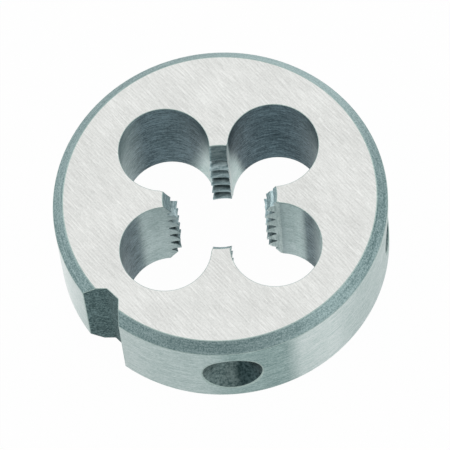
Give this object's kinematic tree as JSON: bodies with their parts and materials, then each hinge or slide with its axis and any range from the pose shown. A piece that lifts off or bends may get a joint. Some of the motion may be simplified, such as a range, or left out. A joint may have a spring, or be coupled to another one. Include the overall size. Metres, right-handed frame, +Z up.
{
  "type": "round threading die",
  "caption": "Round die that cuts an outside thread: toothed lands between chip holes, chamfered rim with a notch and conical set-screw seats.",
  "frame": {"origin": "centre of the bottom face, on the axis of the thread", "axes": "+Z up along the axis of the thread, +X and +Y through two of the lands; the notch lies between -X and -Y"},
  "size_m": [0.025, 0.025, 0.009],
  "materials": {
    "tool_steel": "hardened tool steel, faces ground bright, chamfers and notch dark, rim and holes machined"
  },
  "bodies": {
    "root": {"threading_die": "tool_steel"}
  },
  "joints": []
}
